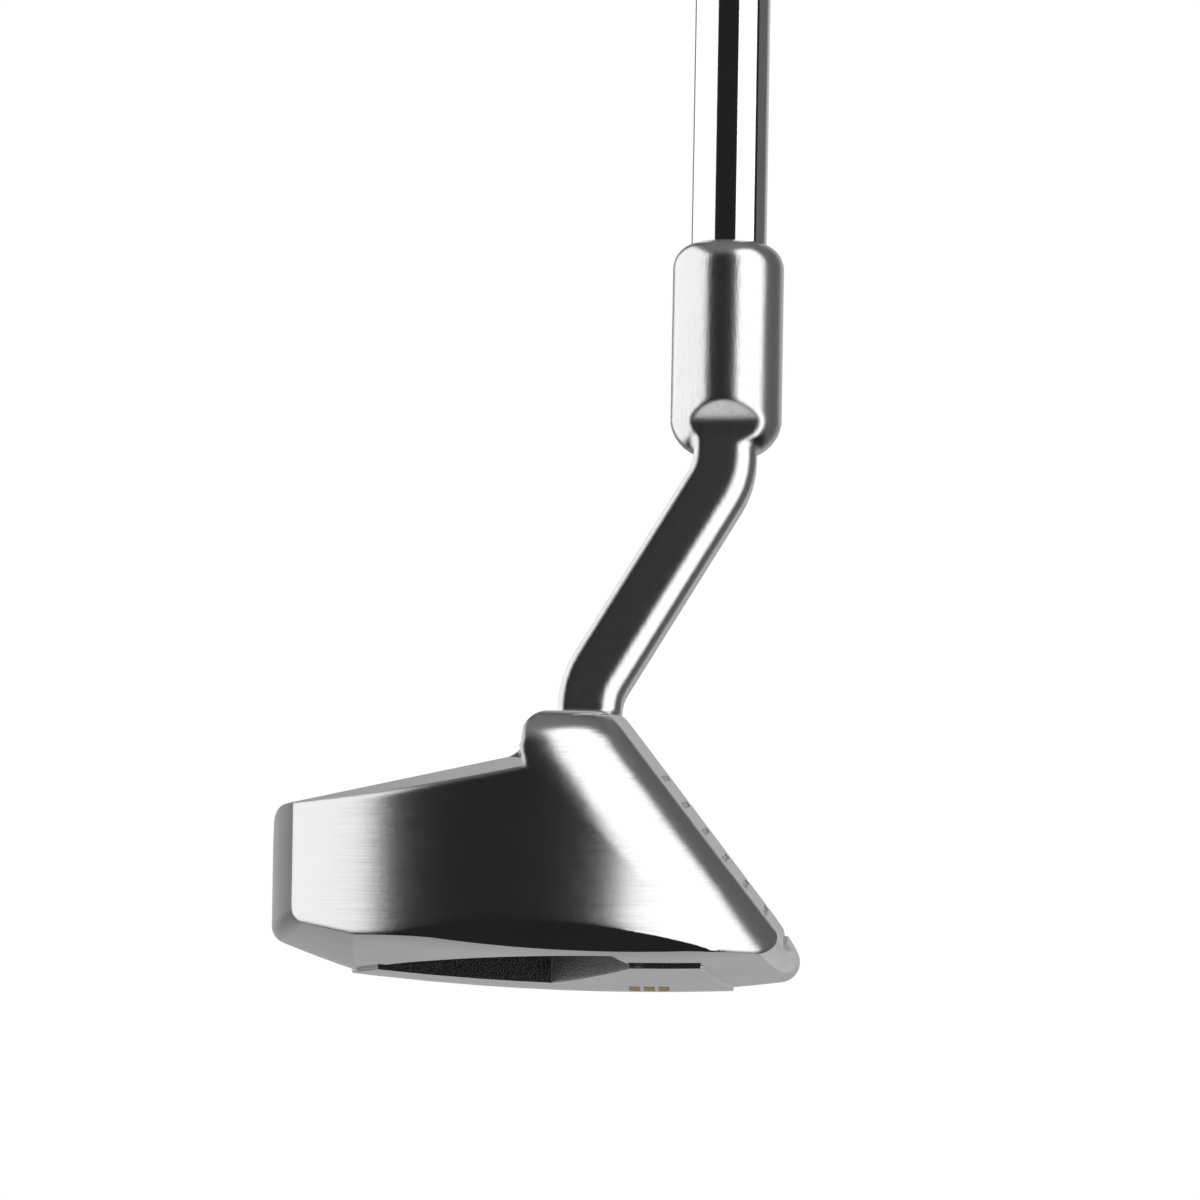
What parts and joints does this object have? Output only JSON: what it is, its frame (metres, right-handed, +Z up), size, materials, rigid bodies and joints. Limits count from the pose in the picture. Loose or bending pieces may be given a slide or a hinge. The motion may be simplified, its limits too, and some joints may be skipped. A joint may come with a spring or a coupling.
{
  "type": "putter-style golf chipper",
  "caption": "Golf club with a lofted grooved mallet head, offset bar neck, round hosel, stepped steel shaft and rubber grip.",
  "frame": {"origin": "centre of the small flat spot on the sole that the club rests on, on the ground", "axes": "+Z up, +X the target direction that the grooved face looks along, +Y from toe to heel, towards the player"},
  "size_m": [0.0688, 0.2473, 0.8776],
  "materials": {
    "head_metal": "satin brushed sides and face, polished sole and crown",
    "gold_enamel": "metallic gold fill",
    "dark_enamel": "satin dark fill",
    "epoxy": "cured epoxy",
    "shaft_chrome": "polished chrome plate",
    "weight_brass": "turned",
    "tape": "double-sided masking tape",
    "grip_rubber": "moulded, matt",
    "cap_rubber": "moulded, smooth"
  },
  "bodies": {
    "root": {"head_casting": "head_metal", "sole_mark_fill": "gold_enamel", "sight_line_fill": "dark_enamel", "hosel_adhesive": "epoxy", "shaft_tube": "shaft_chrome", "tip_weight": "weight_brass", "grip_tape": "tape", "grip_sleeve": "grip_rubber", "grip_cap": "cap_rubber"}
  },
  "joints": []
}
